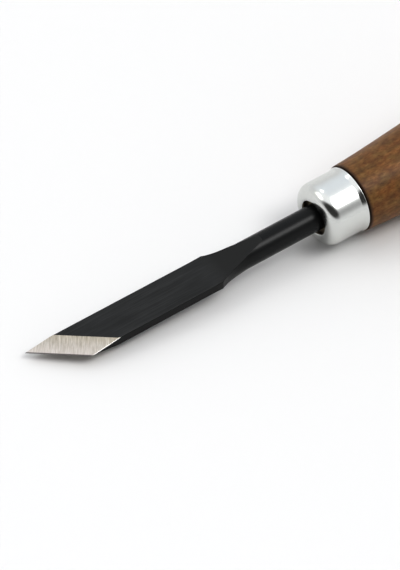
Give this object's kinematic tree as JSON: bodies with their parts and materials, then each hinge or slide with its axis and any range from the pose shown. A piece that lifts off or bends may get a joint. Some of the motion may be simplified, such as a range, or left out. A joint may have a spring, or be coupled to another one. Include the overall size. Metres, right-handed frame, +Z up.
{
  "type": "skew chisel",
  "caption": "Carver's skew chisel: a flat blackened blade with a bright slanting double bevel, a round shank, a plated ferrule and a turned wooden handle.",
  "frame": {"origin": "middle of the chisel's box, on the bench top that the chisel lies on", "axes": "+Z up from the bench; +X along the chisel towards the cutting edge; +Y across the blade towards the heel of the edge"},
  "size_m": [0.2288, 0.03, 0.0322],
  "materials": {
    "blade_steel": "black oxide, with both bevels ground bright",
    "ferrule_plating": "polished bright plating",
    "handle_wood": "brown stain under a satin lacquer"
  },
  "bodies": {
    "root": {"blade": "blade_steel", "ferrule": "ferrule_plating", "handle": "handle_wood"}
  },
  "joints": []
}
